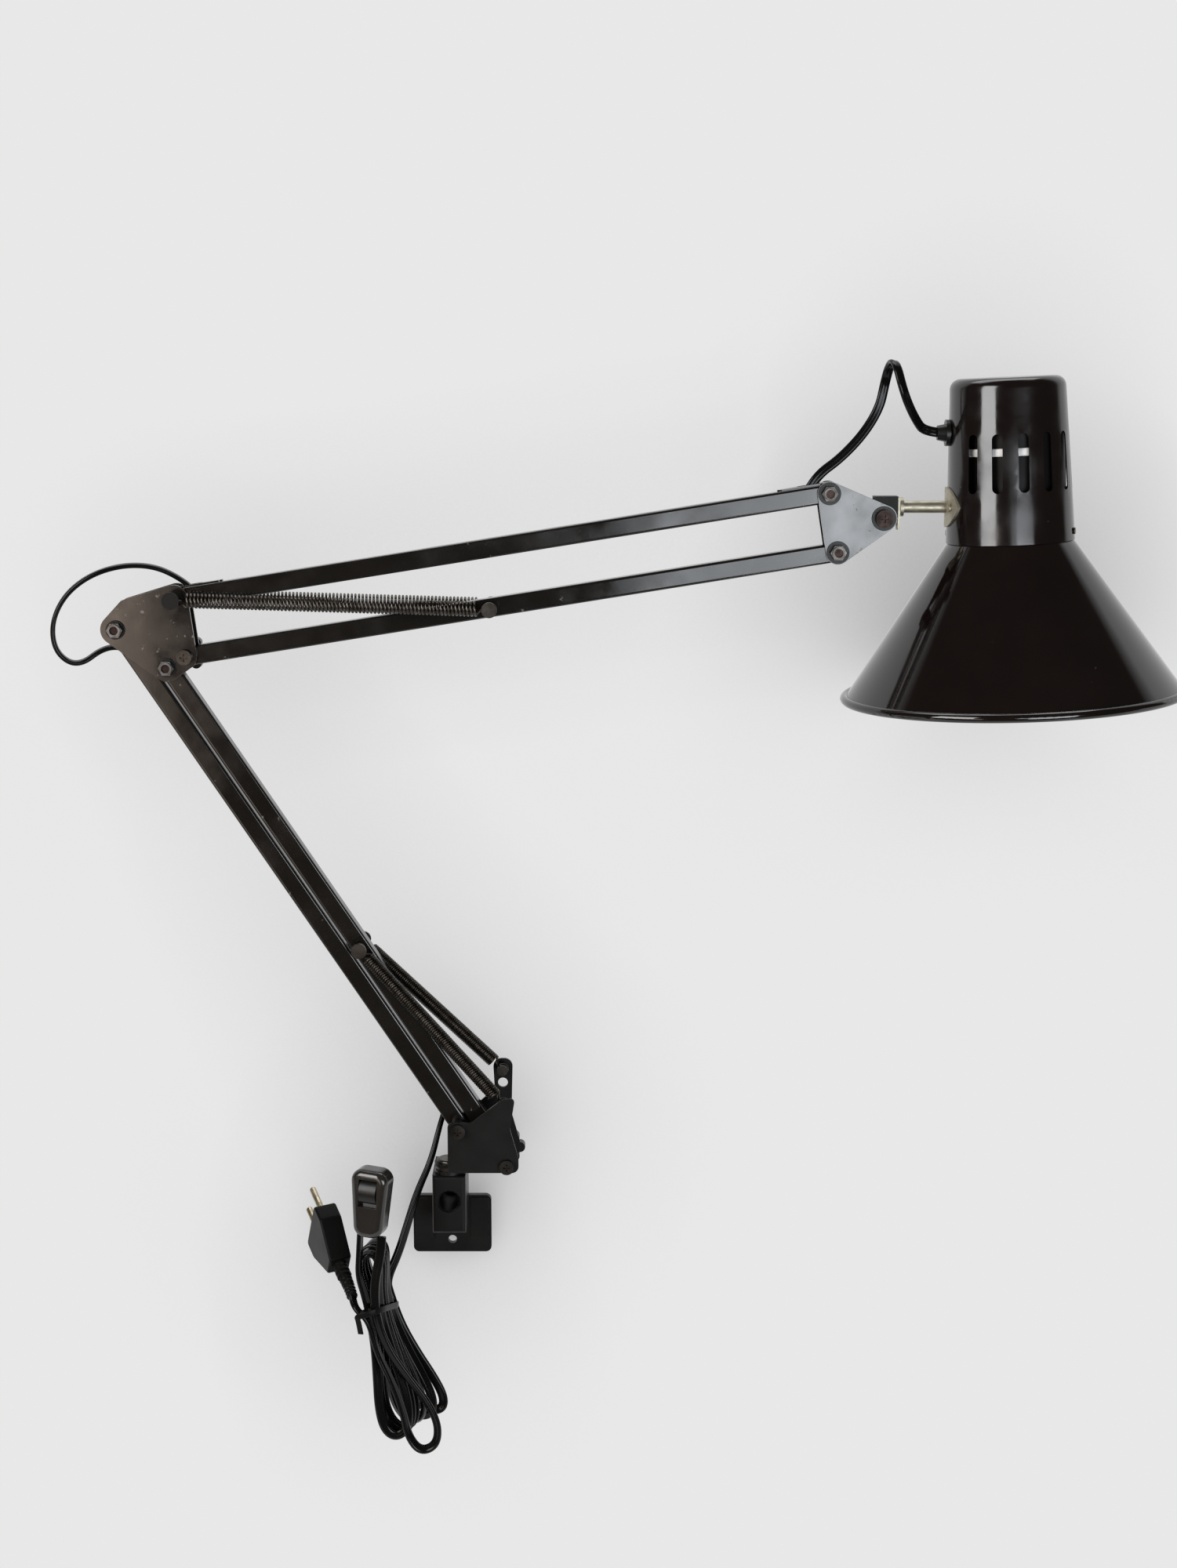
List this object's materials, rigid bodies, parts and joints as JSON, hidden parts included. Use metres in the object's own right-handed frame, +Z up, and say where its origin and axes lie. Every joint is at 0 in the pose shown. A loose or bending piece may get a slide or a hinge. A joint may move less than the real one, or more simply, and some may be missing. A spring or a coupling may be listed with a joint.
{
  "type": "architect lamp",
  "caption": "Wall-mounted architect lamp: a screw-on pivot bracket, two sprung parallel-bar arms, a tilting cone shade, and a tied cord with switch and plug.",
  "frame": {"origin": "middle of the two screw holes on the bracket's back face", "axes": "+Y out of the back face into the wall, +Z up along the swivel pin, +X along the arms towards the shade"},
  "size_m": [0.658, 0.2, 0.6384],
  "materials": {
    "black_paint": "satin black paint",
    "arm_enamel": "glossy black enamel with fine wear",
    "dark_steel": "blackened steel",
    "bright_metal": "bright nickel",
    "brown_metal": "browned steel",
    "spring_steel": "oiled spring wire",
    "black_plastic": "matte black",
    "enamel": "glossy black enamel",
    "white_plastic": "white moulding",
    "cord_black": "glossy black flexible cord",
    "switch_plastic": "glossy black moulding",
    "plug_metal": "nickel-plated pins"
  },
  "bodies": {
    "bracket": {"wall_bracket": "black_paint", "pivot_bush": "black_plastic"},
    "swivel": {"swivel_pin": "dark_steel", "pin_collar": "dark_steel", "base_yoke": "black_paint", "spring_anchor_front": "dark_steel", "spring_anchor_rear": "dark_steel", "base_bolts": "dark_steel", "base_spacers": "black_plastic", "lower_spring_front": "spring_steel", "lower_spring_rear": "spring_steel", "cord_tail": "cord_black", "cord_hank": "cord_black", "hank_tie": "black_plastic", "cord_switch_lead": "cord_black", "cord_plug_lead": "cord_black", "switch_shell_front": "switch_plastic", "switch_shell_rear": "switch_plastic", "plug_body": "switch_plastic", "plug_pins": "plug_metal"},
    "base_knob": {"base_knob": "black_plastic"},
    "lower_main": {"lower_left_bar": "arm_enamel", "cord_lower_run": "cord_black"},
    "lower_link": {"lower_right_bar": "arm_enamel", "lower_spring_post": "dark_steel"},
    "elbow": {"elbow_plate_front": "arm_enamel", "elbow_plate_rear": "arm_enamel", "elbow_bolts": "dark_steel", "elbow_nuts": "dark_steel", "elbow_washers": "black_plastic", "elbow_screw": "dark_steel", "spring_pin": "dark_steel", "upper_spring_front": "spring_steel", "upper_spring_rear": "spring_steel", "cord_elbow_loop": "cord_black"},
    "elbow_knob": {"elbow_knob": "black_plastic"},
    "upper_main": {"upper_top_bar": "arm_enamel", "cord_upper_run": "cord_black", "cord_clip_elbow": "black_plastic", "cord_clip_head": "black_plastic"},
    "upper_link": {"upper_bottom_bar": "arm_enamel", "upper_spring_post": "dark_steel"},
    "head": {"head_plate_front": "arm_enamel", "head_plate_rear": "arm_enamel", "head_bolts": "dark_steel", "head_nuts": "dark_steel", "head_washers": "black_plastic", "tilt_screw": "brown_metal", "cord_head_loop": "cord_black"},
    "tilt": {"pivot_block": "black_paint", "stem_fork": "bright_metal"},
    "shade": {"shade_stem": "bright_metal", "stem_saddle": "bright_metal", "saddle_rivets": "bright_metal", "shade_cap": "enamel", "shade_cone": "enamel", "cap_screws": "dark_steel", "cord_gland": "black_plastic", "lamp_holder": "white_plastic"},
    "rocker": {"switch_rocker": "switch_plastic"}
  },
  "joints": [
    {"name": "base_swivel", "type": "hinge", "parent": "bracket", "child": "swivel", "pos_m": [0, -0.027, 0], "axis": [0, 0, 1], "range_deg": [-170, 170]},
    {"name": "lower_arm_tilt", "type": "hinge", "parent": "swivel", "child": "lower_main", "pos_m": [0.00615, -0.027, 0.06465], "axis": [0, 1, 0], "range_deg": [0, 70], "deforming": ["lower_spring_front", "lower_spring_rear", "cord_tail"]},
    {"name": "lower_link_tilt", "type": "hinge", "parent": "swivel", "child": "lower_link", "pos_m": [0.03515, -0.027, 0.04265], "axis": [0, 1, 0], "range_deg": [0, 70]},
    {"name": "elbow_level", "type": "hinge", "parent": "lower_main", "child": "elbow", "pos_m": [-0.18906, -0.027, 0.36296], "axis": [0, 1, 0], "range_deg": [-70, 0], "deforming": ["cord_elbow_loop"]},
    {"name": "upper_arm_tilt", "type": "hinge", "parent": "elbow", "child": "upper_main", "pos_m": [-0.15506, -0.027, 0.38071], "axis": [0, 1, 0], "range_deg": [-45, 50], "deforming": ["upper_spring_front", "upper_spring_rear", "cord_elbow_loop"]},
    {"name": "upper_link_tilt", "type": "hinge", "parent": "elbow", "child": "upper_link", "pos_m": [-0.14968, -0.027, 0.34713], "axis": [0, 1, 0], "range_deg": [-45, 50]},
    {"name": "head_level", "type": "hinge", "parent": "upper_main", "child": "head", "pos_m": [0.22164, -0.027, 0.44104], "axis": [0, 1, 0], "range_deg": [-50, 45], "deforming": ["cord_head_loop"]},
    {"name": "shade_tilt", "type": "hinge", "parent": "head", "child": "tilt", "pos_m": [0.25304, -0.027, 0.42694], "axis": [0, 1, 0], "range_deg": [-60, 25], "deforming": ["cord_head_loop"]},
    {"name": "shade_roll", "type": "hinge", "parent": "tilt", "child": "shade", "pos_m": [0.25304, -0.027, 0.43324], "axis": [1, 0, 0], "range_deg": [-90, 90], "deforming": ["cord_head_loop"]},
    {"name": "base_knob_turn", "type": "hinge", "parent": "swivel", "child": "base_knob", "pos_m": [0.03515, -0.027, 0.04265], "axis": [0, 1, 0], "continuous": true},
    {"name": "elbow_knob_turn", "type": "hinge", "parent": "elbow", "child": "elbow_knob", "pos_m": [-0.14968, -0.027, 0.34713], "axis": [0, 1, 0], "continuous": true},
    {"name": "rocker_press", "type": "hinge", "parent": "swivel", "child": "rocker", "pos_m": [-0.04172, -0.08019, 0.04107], "axis": [0.9498, -0.309, -0.0498], "range_deg": [0, 14]}
  ],
  "couplings": [
    {"joint": "lower_link_tilt", "follows": "lower_arm_tilt", "ratio": 1},
    {"joint": "elbow_level", "follows": "lower_arm_tilt", "ratio": -1},
    {"joint": "upper_link_tilt", "follows": "upper_arm_tilt", "ratio": 1},
    {"joint": "head_level", "follows": "upper_arm_tilt", "ratio": -1}
  ]
}
